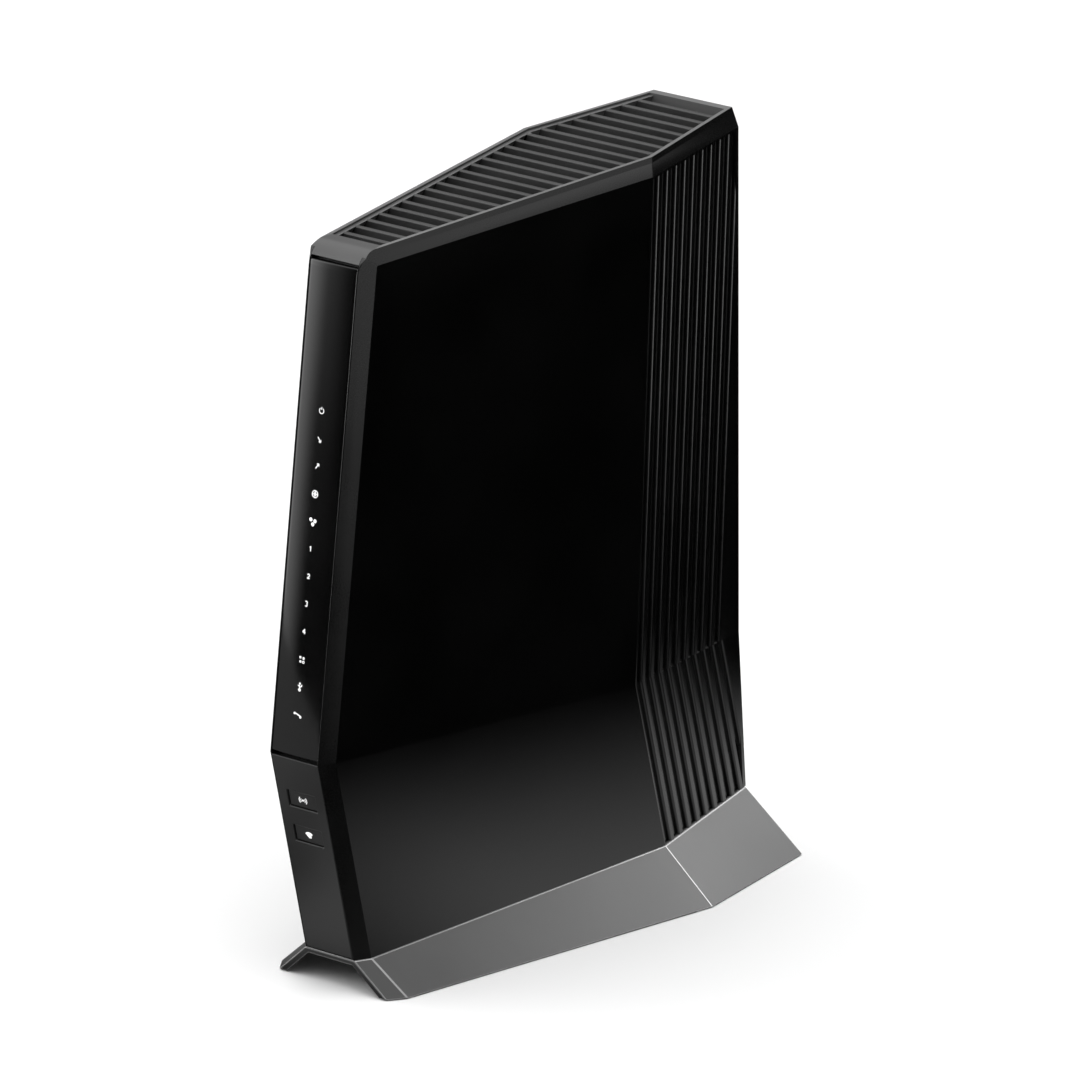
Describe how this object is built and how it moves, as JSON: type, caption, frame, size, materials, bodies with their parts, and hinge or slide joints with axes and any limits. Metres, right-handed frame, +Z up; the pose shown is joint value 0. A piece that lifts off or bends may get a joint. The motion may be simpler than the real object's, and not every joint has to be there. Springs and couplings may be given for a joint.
{
  "type": "cable modem",
  "caption": "Upright cable modem router: tapered six-sided tower with a gloss lamp strip, ribbed rear sides, slatted top vent and a bent two-flap stand.",
  "frame": {"origin": "on the table, under the middle of the whole outline", "axes": "+X to the modem's right-hand side, +Y to the port side at the rear, +Z up"},
  "size_m": [0.1138, 0.2362, 0.285],
  "materials": {
    "gloss_black": "gloss black moulding, satin on the bevel band",
    "satin_grey": "satin dark grey moulding",
    "lens_black": "smoked gloss lens",
    "satin_black": "satin black moulding",
    "button_black": "satin black button",
    "stand_grey": "satin metallic grey",
    "foot_rubber": "matte",
    "circuit_board": "solder mask",
    "chip_black": "moulded epoxy",
    "clear_guide": "clear moulding",
    "lamp": "lamp lens",
    "switch_body": "moulded",
    "thermal_pad": "soft pad",
    "fin_aluminium": "extruded",
    "tin_steel": "tin-plated sheet",
    "nickel": "nickel plated",
    "screw_steel": "black zinc",
    "capacitor_sleeve": "sleeve",
    "aerial_copper": "foil",
    "lead_jacket": "jacket"
  },
  "bodies": {
    "modem": {"right_cover": "gloss_black", "left_cover": "gloss_black", "top_grille": "satin_grey", "led_panel": "lens_black", "front_lower_panel": "satin_black", "front_frame": "satin_black", "light_guide": "clear_guide", "led_board": "circuit_board", "leds": "lamp", "button_board": "circuit_board", "wifi_switch": "switch_body", "wps_switch": "switch_body", "led_cable": "lead_jacket", "button_cable": "lead_jacket", "stand": "stand_grey", "foot_strip_right_front": "foot_rubber", "foot_strip_right_rear": "foot_rubber", "foot_strip_left_front": "foot_rubber", "foot_strip_left_rear": "foot_rubber", "stand_screws": "screw_steel", "bottom_panel": "satin_black", "rear_panel": "satin_black", "rear_panel_screws": "screw_steel", "main_board": "circuit_board", "board_screws": "screw_steel", "soc_chip": "chip_black", "modem_chip": "chip_black", "memory_chips": "chip_black", "thermal_pads_right": "thermal_pad", "thermal_pads_left": "thermal_pad", "heatsink_right": "fin_aluminium", "heatsink_left": "fin_aluminium", "tuner_shield": "tin_steel", "wifi_shield_upper": "tin_steel", "wifi_shield_lower": "tin_steel", "capacitors": "capacitor_sleeve", "lan_jack_1": "tin_steel", "lan_jack_2": "tin_steel", "lan_jack_3": "tin_steel", "lan_jack_4": "tin_steel", "wan_jack": "tin_steel", "usb_port": "tin_steel", "dc_jack": "switch_body", "coax_connector": "nickel", "coax_nut": "nickel", "power_switch": "switch_body", "reset_switch": "switch_body", "antenna_1": "aerial_copper", "antenna_2": "aerial_copper", "antenna_3": "aerial_copper", "antenna_4": "aerial_copper", "antenna_cable_1": "lead_jacket", "antenna_cable_2": "lead_jacket", "antenna_cable_3": "lead_jacket", "antenna_cable_4": "lead_jacket"},
    "wifi_button": {"wifi_button": "button_black"},
    "wps_button": {"wps_button": "button_black"},
    "power_button": {"power_button": "button_black"},
    "reset_button": {"reset_button": "button_black"}
  },
  "joints": [
    {"name": "wifi_press", "type": "slide", "parent": "modem", "child": "wifi_button", "axis": [0, 0.974, 0.2266], "range_m": [0, 0.0008], "stiffness_N_per_m": 1800, "springref_m": -0.0003},
    {"name": "wps_press", "type": "slide", "parent": "modem", "child": "wps_button", "axis": [0, 0.974, 0.2266], "range_m": [0, 0.0008], "stiffness_N_per_m": 1800, "springref_m": -0.0003},
    {"name": "power_press", "type": "slide", "parent": "modem", "child": "power_button", "axis": [0, -1, 0], "range_m": [0, 0.002], "stiffness_N_per_m": 1200, "springref_m": -0.0005},
    {"name": "reset_press", "type": "slide", "parent": "modem", "child": "reset_button", "axis": [0, -1, 0], "range_m": [0, 0.0008], "stiffness_N_per_m": 1500, "springref_m": -0.0003}
  ]
}
